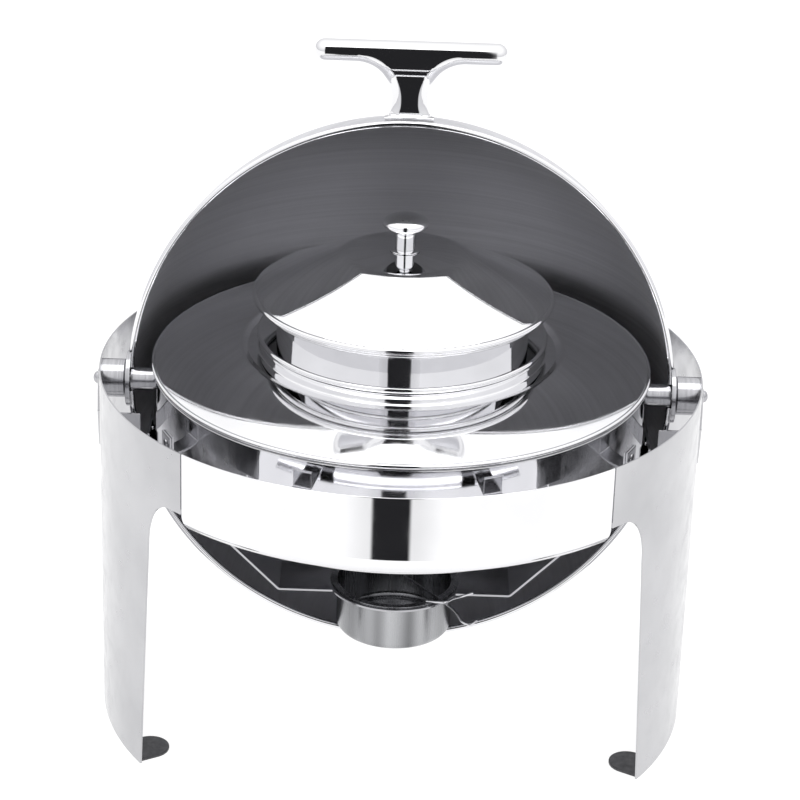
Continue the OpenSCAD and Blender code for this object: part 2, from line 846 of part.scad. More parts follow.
// Points between b and c on a smooth curve through a, b, c, d
function bend(a, b, c, d, n) = [for (i = [0:n - 1]) let (t = i / n)
    0.5 * (2 * b + (c - a) * t + (2 * a - 5 * b + 4 * c - d) * t * t + (3 * b - a - 3 * c + d) * t * t * t)];

function smooth(p, n = 5) = let (m = len(p) - 1) concat(
    [for (i = [0:m - 1]) each bend(p[max(i - 1, 0)], p[i], p[i + 1], p[min(i + 2, m)], n)], [p[m]]);

// Two wires welded on the cup's flange that cross in front and end in small finger curls
module cup_handle() {
    over = 2 * wire_r + 0.2;      // height of the upper wire where the two cross
    dip = 4;                      // how far the lower wire's end hangs down
    weld = cup_flange_r;
    r = wire_reach;
    grip = [
        [-weld * 0.44, weld * 0.84, 0], [r * 0.16, -r * 0.03, 0], [r * 0.74, -r * 0.82, 0],
        [r * 0.89, -r * 1.08, -dip], [r, -r * 1.14, -dip - 1], [r * 1.08, -r * 1.09, 1 - dip],
    ];
    tail = [
        [weld * 0.5, -weld * 0.8, 0], [r * 0.66, -r * 0.76, over * 0.9],
        [r * 0.78, -r * 0.66, over], [r * 0.91, -r * 0.58, over], [r * 1.03, -r * 0.55, over + 2],
    ];
    color("silver") translate([0, cup_y, wire_z]) {
        tube(smooth(grip), wire_r);
        tube(smooth(tail), wire_r);
    }
}

// ---- one line a node ----

front_panel();
rear_panel();
leg_panel_left();
leg_panel_right();
splice_plates();
foot_front_left();
foot_front_right();
foot_rear_left();
foot_rear_right();
hinge_cover_left();
hinge_cover_right();
pivot_pin_left();
pivot_pin_right();
outer_bosses();
hinge_washers();
inner_sleeves();
lid_stops();
stop_bumpers();
roll_top_dome();
rim_bead();
hinge_ear_left();
hinge_ear_right();
handle();
handle_pad();
handle_screws();
well();
well_brackets();
bracket_rivets();
water_pan();
adaptor();
adaptor_bead();
soup_pot();
pot_flange();
pot_rim_bead();
pot_lid();
pot_lid_bead();
knob_washer();
knob_stem();
knob_cap();
knob_screw();
burner_strap();
strap_rivets();
fuel_cup();
cup_handle();
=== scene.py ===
import json
import math

import bmesh
import bpy
import numpy as np
from mathutils import Matrix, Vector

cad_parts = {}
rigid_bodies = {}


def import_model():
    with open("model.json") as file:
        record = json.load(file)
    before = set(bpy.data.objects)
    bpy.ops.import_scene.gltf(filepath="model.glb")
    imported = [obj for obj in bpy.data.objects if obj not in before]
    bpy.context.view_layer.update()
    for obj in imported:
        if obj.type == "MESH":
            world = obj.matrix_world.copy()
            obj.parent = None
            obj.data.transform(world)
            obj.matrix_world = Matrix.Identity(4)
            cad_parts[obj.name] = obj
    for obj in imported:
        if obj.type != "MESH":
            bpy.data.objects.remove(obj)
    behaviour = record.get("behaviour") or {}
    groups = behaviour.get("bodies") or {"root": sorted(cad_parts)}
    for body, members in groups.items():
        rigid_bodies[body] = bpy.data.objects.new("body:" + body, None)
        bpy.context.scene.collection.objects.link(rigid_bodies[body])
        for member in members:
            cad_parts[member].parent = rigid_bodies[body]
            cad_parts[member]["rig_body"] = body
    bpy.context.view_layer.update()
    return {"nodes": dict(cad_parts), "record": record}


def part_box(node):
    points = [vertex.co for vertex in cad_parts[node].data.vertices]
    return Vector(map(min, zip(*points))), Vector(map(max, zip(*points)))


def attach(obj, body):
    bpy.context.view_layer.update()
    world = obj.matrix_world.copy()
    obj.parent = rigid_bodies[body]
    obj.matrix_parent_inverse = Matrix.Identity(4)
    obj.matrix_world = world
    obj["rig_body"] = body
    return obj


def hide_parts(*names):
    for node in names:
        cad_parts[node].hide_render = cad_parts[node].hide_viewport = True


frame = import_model()
nodes = frame["nodes"]
scene = bpy.context.scene

MM = 0.001
MIRROR_X = np.array([-1, 1, 1])

# ---- sizes of the part, in millimetres ----
FRAME_R, SHEET, RIM_Z, BAND_Z, CURL_R = 250, 1.2, 307, 255, 18
FRAME_RI = FRAME_R - SHEET
SEAM_AZ, SEAM_GAP, SPLICE_W = 42.2, 1.4, 34
LEG_FRONT_AZ, LEG_REAR_AZ, LEG_LEAN = 55.6, 110, 0.0585
ARCH_W, ARCH_H, ARCH_Z = 21.5, 42.5, 254.5
FOOT_W, FOOT_T, FOOT_REACH, REAR_REACH = 32, 2.4, 33, 16

HINGE_Z, OPEN_ANGLE = 287, 94.46
DOME_R, DOME_T, RIM_BEAD_CIRCLE, RIM_BEAD_R = 225.6, 1, 225, 2.6
EAR_R, EAR_X, PIN_R, PIN_CLEAR, SLEEVE_R, BOSS_R = 23, 228.2, 4, 0.05, 9.5, 16
WASHER_X, BOSS_X, PIN_X0, PIN_X1, PIN_HEAD_H, COVER_T = 228.6, 229.6, 211, 252.5, 4, 2.5
HANDLE_ANGLE, PAD_U, BAR_U, BAR_L, BAR_T, BAR_D, STEM_W = 6.8, 228.6, 270, 158, 18, 27, 30
STEM_FILLET = 30

WELL_R, WELL_T, WELL_Z, WELL_BOTTOM, WELL_CORNER, WELL_FLANGE = 206, 1.2, 308.5, 210, 24, 17
PAN_T, PAN_R, PAN_RIM_Z, PAN_BOTTOM = 1, 203.8, 309.5, 211.5
ADAPTOR_CIRCLE, ADAPTOR_BEAD_R, ADAPTOR_BEAD_Z = 205.1, 1.9, 311.7
CREST_R, CREST_Z, COLLAR_R, COLLAR_Z = 134, 327, 117.6, 333.4
POT_R, POT_BEAD_R, POT_CIRCLE, POT_FLANGE_Z, POT_RIM_Z = 104, 2.6, 117.4, 336.3, 367.1
POT_BOTTOM = POT_FLANGE_Z - 110
LID_CIRCLE, LID_SLOPE, LID_TOP_SLOPE, CROWN_R, TURN_R = 121.4, 25.2, 3.9, 55, 25
LID_RIM_Z = POT_RIM_Z + math.sqrt(5.5**2 - (LID_CIRCLE - POT_CIRCLE) ** 2)
STEM_R, STEM_H, KNOB_R, KNOB_H, WASHER_H = 8.5, 15, 19, 14, 1.2

CUP_Y, CUP_R, CUP_T, CUP_CORNER = -15, 49, 1, 6
STRAP_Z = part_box("burner_strap")[0].z / MM + 2
STRAP_T, STRAP_W, STRAP_KNEE, RING_R, RING_HOLE_R, STRAP_TOP = 2, 50, 98, 58, 50.2, 255
CUP_BOTTOM = STRAP_Z - 44
WIRE_R, WIRE_REACH = 1.1, 64


def slope(degrees):
    return math.tan(math.radians(degrees))


# ---- materials ----


class Shader:
    """A Principled material with short helpers for the nodes that feed it."""

    def __init__(self, name, **values):
        self.material = bpy.data.materials.new(name)
        self.material.use_nodes = True
        self.tree = self.material.node_tree
        self.principled = self.tree.nodes["Principled BSDF"]
        for socket, value in values.items():
            self.principled.inputs[socket.replace("_", " ")].default_value = value
        self.coords = self.add("ShaderNodeTexCoord").outputs["Object"]

    def add(self, kind, **settings):
        node = self.tree.nodes.new(kind)
        for key, value in settings.items():
            setattr(node, key, value)
        return node

    def link(self, a, b):
        self.tree.links.new(a, b)

    def mapped(self, scale, rotation=(0, 0, 0)):
        node = self.add("ShaderNodeMapping")
        node.inputs["Scale"].default_value = scale
        node.inputs["Rotation"].default_value = rotation
        self.link(self.coords, node.inputs["Vector"])
        return node.outputs["Vector"]

    def noise(self, vector, scale, detail=4):
        node = self.add("ShaderNodeTexNoise")
        node.inputs["Scale"].default_value = scale
        node.inputs["Detail"].default_value = detail
        self.link(vector, node.inputs["Vector"])
        return node.outputs["Fac"]

    def between(self, factor, low, high, start=0.3, end=0.7):
        node = self.add("ShaderNodeMapRange")
        node.inputs["From Min"].default_value = start
        node.inputs["From Max"].default_value = end
        node.inputs["To Min"].default_value = low
        node.inputs["To Max"].default_value = high
        self.link(factor, node.inputs["Value"])
        return node.outputs["Result"]

    def shades(self, factor, dark, light):
        node = self.add("ShaderNodeValToRGB")
        node.color_ramp.elements[0].position = 0.3
        node.color_ramp.elements[0].color = (*dark, 1)
        node.color_ramp.elements[1].position = 0.7
        node.color_ramp.elements[1].color = (*light, 1)
        self.link(factor, node.inputs["Fac"])
        self.link(node.outputs["Color"], self.principled.inputs["Base Color"])

    def bump(self, height, distance, strength=1.0, below=None):
        node = self.add("ShaderNodeBump")
        node.inputs["Distance"].default_value = distance
        node.inputs["Strength"].default_value = strength
        self.link(height, node.inputs["Height"])
        if below is not None:
            self.link(below, node.inputs["Normal"])
        return node.outputs["Normal"]

    def surface(self, roughness, normal):
        self.link(roughness, self.principled.inputs["Roughness"])
        self.link(normal, self.principled.inputs["Normal"])
        return self.material


def polished(name, dark, light, rough, wave=0.00002):
    """Mirror polished sheet: long shallow waves, faint polishing lines and a few softer patches."""
    s = Shader(name, Metallic=1.0)
    patches = s.noise(s.coords, 14, 3)
    s.shades(patches, dark, light)
    roughness = s.between(s.noise(s.coords, 60, 6), rough * 0.6, rough * 1.6)
    waves = s.bump(s.noise(s.coords, 18, 1), wave)
    lines = s.bump(s.noise(s.mapped((9, 9, 900)), 4, 2), 0.0000015, 0.5, waves)
    return s.surface(roughness, lines)


def brushed(name, dark, light, rough, scale, rotation=(0, 0, 0), depth=0.000006, anisotropy=0.0):
    """Satin sheet with fine lines that run across the direction with the large scale."""
    s = Shader(name, Metallic=1.0, Anisotropic=anisotropy)
    lines = s.noise(s.mapped(scale, rotation), 3, 5)
    s.shades(s.noise(s.mapped(tuple(x * 0.3 for x in scale), rotation), 2, 4), dark, light)
    roughness = s.between(lines, rough * 0.8, rough * 1.25)
    return s.surface(roughness, s.bump(lines, depth))


def painted_reflection_bands(name, dark, light, rough):
    """Drawn cup wall: fine upright lines, and broad upright bands of painted reflection that make the
    colour lighter and darker.
    """
    s = Shader(name, Metallic=1.0)
    lines = s.noise(s.mapped((320, 320, 4)), 3, 5)
    # painted reflection: broad upright light and dark bands in the base colour stand in for the
    # brushed cup's stretched reflections
    s.shades(s.noise(s.mapped((32, 32, 0.6)), 1.6, 1), dark, light)
    return s.surface(s.between(lines, rough * 0.8, rough * 1.25), s.bump(lines, 0.000006))


def rubber(name):
    s = Shader(name, Metallic=0.0)
    grain = s.noise(s.coords, 900, 4)
    s.shades(grain, (0.012, 0.012, 0.013), (0.03, 0.03, 0.032))
    return s.surface(s.between(grain, 0.6, 0.8), s.bump(grain, 0.00008))


TILT = (math.radians(OPEN_ANGLE), 0, 0)
MATERIALS = {
    "mirror_steel": polished(
        "mirror_steel", (0.82, 0.82, 0.835), (0.9, 0.9, 0.915), 0.04),
    "leg_steel": polished(
        "leg_steel", (0.48, 0.48, 0.495), (0.56, 0.56, 0.575), 0.18, 0.00003),
    "dome_steel": brushed(
        "dome_steel", (0.62, 0.62, 0.64), (0.7, 0.7, 0.725), 0.46, (5, 5, 500), TILT,
        anisotropy=0.3),
    "dull_steel": polished("dull_steel", (0.42, 0.42, 0.44), (0.5, 0.5, 0.52), 0.14, 0.00005),
    "turned_steel": brushed(
        "turned_steel", (0.4, 0.4, 0.42), (0.5, 0.5, 0.52), 0.18, (900, 8, 8)),
    "foot_steel": brushed(
        "foot_steel", (0.07, 0.07, 0.075), (0.11, 0.11, 0.115), 0.4, (300, 300, 40)),
    "handle_chrome": polished(
        "handle_chrome", (0.8, 0.8, 0.81), (0.86, 0.86, 0.87), 0.03, 0.00001),
    # cup colour: painted reflection bands, from dark grey to light grey
    "brushed_cup": painted_reflection_bands("brushed_cup", (0.2, 0.203, 0.21), (0.5, 0.505, 0.52), 0.24),
    "wire_steel": brushed("wire_steel", (0.62, 0.62, 0.64), (0.72, 0.72, 0.74), 0.16, (40, 40, 600)),
    "bumper_rubber": rubber("bumper_rubber"),
}
SLOT_OF = {entry["node"]: entry["material_slot"] for entry in frame["record"]["subparts"]}


# ---- mesh tools ----


def piece(node, parts, bevel=0.0, sharp=35):
    """One shown mesh that stands for a CAD node, from (vertices in millimetres, faces) parts."""
    vertices, faces, base = [], [], 0
    for part_vertices, part_faces in parts:
        vertices.extend(part_vertices)
        faces.extend([[i + base for i in face] for face in part_faces])
        base += len(part_vertices)
    mesh = bpy.data.meshes.new(node + "_surface")
    mesh.from_pydata(np.asarray(vertices, float) * MM, [], faces)
    bm = bmesh.new()
    bm.from_mesh(mesh)
    bmesh.ops.remove_doubles(bm, verts=bm.verts, dist=2e-6)
    bmesh.ops.recalc_face_normals(bm, faces=bm.faces)
    bm.to_mesh(mesh)
    bm.free()
    mesh.shade_smooth()
    mesh.set_sharp_from_angle(angle=math.radians(sharp))
    obj = bpy.data.objects.new(node + "_surface", mesh)
    scene.collection.objects.link(obj)
    if bevel:
        edge = obj.modifiers.new("edges", "BEVEL")
        edge.width = bevel * MM
        edge.segments = 3
        edge.angle_limit = math.radians(40)
        edge.harden_normals = False
    weighted = obj.modifiers.new("weighted_normals", "WEIGHTED_NORMAL")
    weighted.keep_sharp = True
    mesh.materials.append(MATERIALS[SLOT_OF[node]])
    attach(obj, nodes[node]["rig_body"])
    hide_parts(node)
    return obj


def arc(centre, radius, start, end, count=14):
    angles = np.radians(np.linspace(start, end, count + 1))
    return np.array(centre) + radius * np.column_stack([np.cos(angles), np.sin(angles)])


def path(*runs):
    """One line of points from single points and arcs, without doubles."""
    points = np.vstack([np.atleast_2d(np.array(run, float)) for run in runs])
    keep = np.r_[True, np.linalg.norm(np.diff(points, axis=0), axis=1) > 1e-4]
    return points[keep]


def path_normals(points):
    steps = np.diff(points, axis=0)
    steps /= np.linalg.norm(steps, axis=1)[:, None]
    before, after = np.vstack([steps[:1], steps]), np.vstack([steps, steps[-1:]])
    middle = before + after
    middle /= np.linalg.norm(middle, axis=1)[:, None]
    reach = 1 / np.clip((middle * before).sum(1), 0.5, 1)
    return np.column_stack([-middle[:, 1], middle[:, 0]]) * reach[:, None]


def sheet(points, thickness, rounded_start=True, rounded_end=True):
    """Outline of a sheet along a centre line, with its cut edges rounded."""
    half, normals = thickness / 2, path_normals(points)

    def end(point, normal, outward):
        turns = np.radians(np.linspace(90, -90, 7)[1:-1])
        return [point + half * (np.sin(a) * normal + np.cos(a) * outward) for a in turns]

    first, last = points[0] - points[1], points[-1] - points[-2]
    first, last = first / np.linalg.norm(first), last / np.linalg.norm(last)
    outline = list(points + normals * half)
    if rounded_end:
        outline += end(points[-1], normals[-1], last)
    outline += list((points - normals * half)[::-1])
    if rounded_start:
        outline += end(points[0], -normals[0], first)
    return np.array(outline)


def circle(centre, radius, count=28):
    return arc(centre, radius, 0, 360, count)[:-1]


def grid_faces(rows, columns, wrap_rows=False, wrap_columns=False):
    faces = []
    for i in range(rows if wrap_rows else rows - 1):
        for j in range(columns if wrap_columns else columns - 1):
            a, b = i * columns + j, i * columns + (j + 1) % columns
            c, d = (i + 1) % rows * columns + (j + 1) % columns, (i + 1) % rows * columns + j
            faces.append((a, b, c, d))
    return faces


def lathe(outline, steps=288, middle=0, span=360):
    """A closed outline of (radius, z), turned about Z. Azimuth 0 is the front and 90 is +X."""
    full = span == 360
    angles = np.radians(middle - span / 2 + np.linspace(0, span, steps + 1))
    angles = angles[: steps if full else None]
    p, count = np.asarray(outline), len(outline)
    vertices = np.stack(
        [np.outer(np.sin(angles), p[:, 0]), -np.outer(np.cos(angles), p[:, 0]),
         np.tile(p[:, 1], (len(angles), 1))], axis=2).reshape(-1, 3)
    faces = grid_faces(len(angles), count, wrap_rows=full, wrap_columns=True)
    if not full:
        last = (len(angles) - 1) * count
        faces += [tuple(range(count)), tuple(range(last, last + count))[::-1]]
    return vertices, faces


def along_x(part, z=0.0):
    """Turns a lathe about Z into one about the hinge line: its height becomes +X."""
    vertices, faces = part
    return np.column_stack([vertices[:, 2], vertices[:, 0], -vertices[:, 1] + z]), faces


def moved(part, matrix=None, shift=(0, 0, 0), scale=(1, 1, 1)):
    vertices, faces = part
    vertices = np.asarray(vertices) * np.asarray(scale)
    if matrix is not None:
        vertices = vertices @ np.array(matrix.to_3x3()).T
    return vertices + np.asarray(shift), faces


def both_sides(part):
    return [part, moved(part, scale=MIRROR_X)]


def thicken(front, back, faces):
    """A closed shell between two copies of a surface with the same faces."""
    count, seen = len(front), {}
    for face in faces:
        for a, b in zip(face, (*face[1:], face[0])):
            seen[frozenset((a, b))] = None if frozenset((a, b)) in seen else (a, b)
    walls = [(b, a, a + count, b + count) for a, b in filter(None, seen.values())]
    return (
        np.vstack([front, back]),
        [tuple(f) for f in faces] + [tuple(i + count for i in f[::-1]) for f in faces] + walls,
    )


def on_cylinder(y, z, radius):
    return np.column_stack([np.sqrt(radius**2 - y**2), y, z])


def opened(part):
    """Puts a part modelled closed about the hinge line into the open place."""
    return moved(part, Matrix.Rotation(math.radians(-OPEN_ANGLE), 4, "X"), (0, 0, HINGE_Z))


def on_handle(part):
    return opened(moved(part, Matrix.Rotation(math.radians(180 - HANDLE_ANGLE), 4, "X")))


def implicit(field, low, high, step):
    """A smooth closed mesh where field changes sign, with each vertex moved onto the surface."""
    low, high = np.array(low, float), np.array(high, float)
    counts = np.ceil((high - low) / step).astype(int) + 1
    axes = [low[k] + step * np.arange(counts[k]) for k in range(3)]
    points = np.stack(np.meshgrid(*axes, indexing="ij"), axis=-1)
    inside = field(points.reshape(-1, 3)).reshape(counts) < 0
    cells = counts - 1
    corners = [inside[i : i + cells[0], j : j + cells[1], k : k + cells[2]]
               for i in (0, 1) for j in (0, 1) for k in (0, 1)]
    total = sum(c.astype(int) for c in corners)
    used = (total > 0) & (total < 8)
    number = np.full(cells, -1)
    number[used] = np.arange(used.sum())
    vertices = low + (np.argwhere(used) + 0.5) * step
    for _ in range(12):
        value = field(vertices)
        gradient = np.stack(
            [(field(vertices + d) - field(vertices - d)) / 0.1 for d in np.eye(3) * 0.05], axis=1)
        move = gradient * (value / np.maximum((gradient**2).sum(1), 1e-6))[:, None]
        length = np.linalg.norm(move, axis=1)[:, None]
        vertices = vertices - move * np.minimum(1, 0.4 * step / np.maximum(length, 1e-9))
    faces = []
    for k in range(3):
        u, v = (k + 1) % 3, (k + 2) % 3
        ahead = np.take(inside, range(1, counts[k]), axis=k)
        behind = np.take(inside, range(0, counts[k] - 1), axis=k)
        for at in np.argwhere(ahead != behind):
            if min(at[u], at[v]) < 1:
                continue
            ring = []
            for du, dv in ((1, 1), (0, 1), (0, 0), (1, 0)):
                cell = at.copy()
                cell[u] -= du
                cell[v] -= dv
                ring.append(number[tuple(cell)])
            faces.append(tuple(ring if behind[tuple(at)] else ring[::-1]))
    return vertices, faces


def tube(points, radius, sides=14):
    """A round wire with rounded ends along a line of points."""
    points = np.asarray(points, float)
    along = np.gradient(points, axis=0)
    along /= np.linalg.norm(along, axis=1)[:, None]
    side = np.cross(along, (0, 0, 1.0))
    side /= np.linalg.norm(side, axis=1)[:, None]
    up = np.cross(along, side)
    caps = np.radians((15, 40, 65, 89.9))
    start = [(points[0] - along[0] * radius * math.sin(a), radius * math.cos(a), 0)
             for a in caps[::-1]]
    body = [(p, radius, i) for i, p in enumerate(points)]
    end = [(points[-1] + along[-1] * radius * math.sin(a), radius * math.cos(a), -1)
           for a in caps]
    turns = np.radians(np.arange(sides) * 360 / sides)
    rings = [p + r * (np.outer(np.cos(turns), side[i]) + np.outer(np.sin(turns), up[i]))
             for p, r, i in start + body + end]
    count = len(rings)
    faces = grid_faces(count, sides, wrap_columns=True)
    faces += [tuple(range(sides)), tuple(range((count - 1) * sides, count * sides))[::-1]]
    return np.vstack(rings), faces


def smooth_route(points, count=14):
    """Catmull-Rom curve through points."""
    p = np.vstack([points[:1], points, points[-1:]]).astype(float)
    out = []
    for i in range(1, len(p) - 2):
        a, b, c, d = p[i - 1 : i + 3]
        for t in np.arange(count) / count:
            out.append(0.5 * (2 * b + (c - a) * t + (2 * a - 5 * b + 4 * c - d) * t**2
                              + (3 * b - a - 3 * c + d) * t**3))
    return np.array(out + [p[-2]])


# ---- frame ----

half_gap = math.degrees(math.asin(SEAM_GAP / 2 / FRAME_R))
panel_span = 2 * (SEAM_AZ - half_gap)
panel_line = path(
    [FRAME_R - SHEET / 2, RIM_Z - SHEET / 2],
    [FRAME_R - SHEET / 2, BAND_Z + 26],
    arc((FRAME_R - CURL_R, BAND_Z), CURL_R - SHEET / 2, 0, -90, 24),
)
piece("front_panel", [lathe(sheet(panel_line, SHEET), 160, 0, panel_span)])
piece("rear_panel", [lathe(sheet(panel_line, SHEET), 160, 180, panel_span)])


def leg_edge(z, az, lean, side):
    """How far back (y) the edge of a leg is at height z, up to the top of the arch corner."""
    corner_z = ARCH_Z - ARCH_H
    y = -FRAME_R * math.cos(math.radians(az)) + side * lean * min(z, corner_z)
    if z > corner_z:
        y += side * ARCH_W * (1 - math.sqrt(max(0.0, 1 - ((z - corner_z) / ARCH_H) ** 2)))
    return y


def leg(radius):
    corner_z = ARCH_Z - ARCH_H
    heights = [*np.linspace(0, corner_z, 18)]
    heights += [corner_z + ARCH_H * math.sin(math.radians(a)) for a in np.linspace(4, 90, 22)]
    columns, side_columns = 72, 12
    seam = math.radians(SEAM_AZ + half_gap)

    def azimuth(y):
        return math.acos(-y / radius)

    rows = []
    for z in heights:
        a = azimuth(leg_edge(z, LEG_FRONT_AZ, LEG_LEAN, -1))
        b = azimuth(leg_edge(z, LEG_REAR_AZ, LEG_LEAN * 0.7, 1))
        rows.append((z, np.linspace(a, b, columns)))
    lower = [(math.sin(a) * radius, -math.cos(a) * radius, z) for z, row in rows for a in row]
    top = rows[-1][1]
    wide = np.r_[np.linspace(seam, top[0], side_columns)[:-1], top,
                 np.linspace(top[-1], math.pi - seam, side_columns)[1:]]
    levels = np.linspace(ARCH_Z, RIM_Z, 9)
    upper = [(math.sin(a) * radius, -math.cos(a) * radius, z) for z in levels for a in wide]
    faces = grid_faces(len(rows), columns)
    faces += [tuple(i + len(lower) for i in f) for f in grid_faces(len(levels), len(wide))]
    points, first = np.array(lower + upper), len(lower)
    shared = {first + side_columns - 1 + j: (len(rows) - 1) * columns + j for j in range(columns)}
    return points, [tuple(shared.get(i, i) for i in f) for f in faces]


leg_front, leg_faces = leg(FRAME_R)
leg_back, _ = leg(FRAME_RI)
leg_shell = thicken(leg_front, leg_back, leg_faces)
piece("leg_panel_right", [leg_shell], bevel=0.3)
piece("leg_panel_left", [moved(leg_shell, scale=MIRROR_X)], bevel=0.3)

splice_span = 2 * math.degrees(math.asin(SPLICE_W / 2 / FRAME_RI))
splice = sheet(path([FRAME_RI - SHEET / 2, BAND_Z + 4], [FRAME_RI - SHEET / 2, RIM_Z - 5]), SHEET)
piece("splice_plates", [lathe(splice, 24, az, splice_span) for az in
                        (SEAM_AZ, -SEAM_AZ, 180 - SEAM_AZ, 180 + SEAM_AZ)])


def foot(az, reach):
    """A flat tab with a round tip, whose straight side follows the leg."""
    half = FOOT_W / 2
    tip = FRAME_RI - reach + half
    reach_x = math.sqrt(FRAME_RI**2 - half**2)
    outline = arc((min(tip, reach_x), 0), half, 90, 270, 40)
    edge = math.degrees(math.asin(half / FRAME_RI))
    outline = path(outline, arc((0, 0), FRAME_RI, -edge, edge, 16))
    count = len(outline)
    vertices = [(x, y, z) for z in (0.0, FOOT_T) for x, y in outline]
    faces = [tuple(range(count))[::-1], tuple(range(count, 2 * count))]
    faces += [(i, (i + 1) % count, (i + 1) % count + count, i + count) for i in range(count)]
    return moved((vertices, faces), Matrix.Rotation(math.radians(az - 90), 4, "Z"))


foot_half = math.degrees(math.asin(FOOT_W / 2 / FRAME_RI))
for end_name, az, reach in (
    ("front", LEG_FRONT_AZ + foot_half + 0.5, FOOT_REACH),
    ("rear", LEG_REAR_AZ - foot_half - 0.5, REAR_REACH),
):
    piece(f"foot_{end_name}_right", [foot(az, reach)], bevel=0.5)
    piece(f"foot_{end_name}_left", [foot(-az, reach)], bevel=0.5)

# ---- hinges ----


def hinge_cover():
    """Shield shaped plate bent round the frame, with a rounded edge."""
    top_r, wide_r, wide_y, tip_r, tip_y = 8, 15, -20, 4, -58
    top_a = math.degrees(math.asin((wide_r - top_r) / -wide_y))
    tip_a = math.degrees(math.asin((wide_r - tip_r) / (wide_y - tip_y)))
    side = path(arc((0, 0), top_r, 88, -top_a, 16), arc((0, wide_y), wide_r, -top_a, -tip_a, 14),
                arc((0, tip_y), tip_r, -tip_a, -88, 12))
    dense = [side[0]]
    for a, b in zip(side, side[1:]):
        count = max(1, int(abs(b[1] - a[1]) / 1.5))
        dense += [a + (b - a) * k / count for k in range(1, count + 1)]
    half, height = np.array(dense)[:, 0], np.array(dense)[:, 1]
    across = np.sin(np.linspace(-90, 90, 41) * math.pi / 180)
    y = np.outer(half, across)
    z = np.repeat(height[:, None], len(across), axis=1) + HINGE_Z
    ends = np.minimum(top_r - height, height + tip_r - tip_y)
    inset = np.minimum(half[:, None] * (1 - np.abs(across)), ends[:, None])
    round_r = 1.6
    rise = COVER_T - round_r * (1 - np.sqrt(1 - (1 - np.clip(inset / round_r, 0, 1)) ** 2))
    radius = FRAME_R + rise
    faces = grid_faces(*y.shape)
    front = on_cylinder(y.ravel(), z.ravel(), radius.ravel())
    back = on_cylinder(y.ravel(), z.ravel(), np.full(y.size, FRAME_R + 0.02))
    return thicken(front, back, faces)


def pin():
    dome = [((PIN_R + 1.2) * math.cos(a), PIN_X1 + PIN_HEAD_H * math.sin(a))
            for a in np.radians(np.arange(0, 91, 7.5))]
    outline = path([0, PIN_X0], [PIN_R - 0.4, PIN_X0], [PIN_R, PIN_X0 + 0.4], [PIN_R, PIN_X1],
                   dome[:-1], [0, PIN_X1 + PIN_HEAD_H])
    return along_x(lathe(outline, 64), HINGE_Z)


def collar(bore, outer, x0, x1, wall0=0.0, wall1=0.0, edge=0.6):
    """Round bush on the hinge line; an end with a wall radius follows that upright cylinder."""
    outline = path([bore, x0], arc((outer - edge, x0 + edge), edge, -90, 0, 5),
                   [outer, (x0 + x1) / 2], arc((outer - edge, x1 - edge), edge, 0, 90, 5),
                   [bore, x1])
    vertices, faces = along_x(lathe(outline, 96), HINGE_Z)
    vertices = vertices.copy()
    if wall1:
        vertices[:, 0] = np.minimum(vertices[:, 0], np.sqrt(wall1**2 - vertices[:, 1] ** 2) - 0.05)
    if wall0:
        vertices[:, 0] = np.maximum(vertices[:, 0], np.sqrt(wall0**2 - vertices[:, 1] ** 2) + 0.05)
    return vertices, faces


for side_name, scale in (("right", (1, 1, 1)), ("left", MIRROR_X)):
    piece(f"hinge_cover_{side_name}", [moved(hinge_cover(), scale=scale)])
    piece(f"pivot_pin_{side_name}", [moved(pin(), scale=scale)])
piece("outer_bosses", both_sides(collar(PIN_R, BOSS_R, BOSS_X, FRAME_RI + 4, wall1=FRAME_RI)))
piece("hinge_washers", both_sides(collar(PIN_R, BOSS_R - 3, WASHER_X, BOSS_X, edge=0.3)))
sleeve_end = DOME_R - 0.4 - SLEEVE_R**2 / 2 / DOME_R
piece("inner_sleeves", both_sides(collar(PIN_R, SLEEVE_R, WELL_R - 5, sleeve_end, wall0=WELL_R)))

# stops that the open roll top rests on
STOP_DROP, BUMPER_L, BUMPER_R, STOP_T, TAB_H = 35, 4, 5, 2, 16
lean = math.radians(OPEN_ANGLE - 90)
stop_y = -(STOP_DROP + BUMPER_R) * math.tan(lean) - (RIM_BEAD_R + 0.3) / math.cos(lean)
stop_x = math.sqrt(RIM_BEAD_CIRCLE**2 - STOP_DROP**2)


def stop_tab():
    y0, y1 = stop_y - BUMPER_L - STOP_T, stop_y - BUMPER_L
    z0 = HINGE_Z - STOP_DROP - TAB_H / 2
    vertices = [(x if x < 240 else math.sqrt((FRAME_RI - 0.05) ** 2 - y**2), y, z)
                for x in (stop_x - 6, 250) for y in (y0, y1) for z in (z0, z0 + TAB_H)]
    faces = [(0, 1, 3, 2), (4, 6, 7, 5), (0, 4, 5, 1), (2, 3, 7, 6), (0, 2, 6, 4), (1, 5, 7, 3)]
    return np.array(vertices), faces


def bumper():
    outline = path([0, 0], [BUMPER_R - 0.6, 0], arc((BUMPER_R - 0.6, 0.6), 0.6, -90, 0, 4),
                   arc((BUMPER_R - 1.2, BUMPER_L - 1.2), 1.2, 0, 90, 6), [0, BUMPER_L])
    vertices, faces = lathe(outline, 48)
    return np.column_stack([vertices[:, 0] + stop_x, vertices[:, 2] + stop_y - BUMPER_L,
                            vertices[:, 1] + HINGE_Z - STOP_DROP]), faces


piece("lid_stops", both_sides(stop_tab()), bevel=0.4)
piece("stop_bumpers", both_sides(bumper()))

# ---- roll top ----


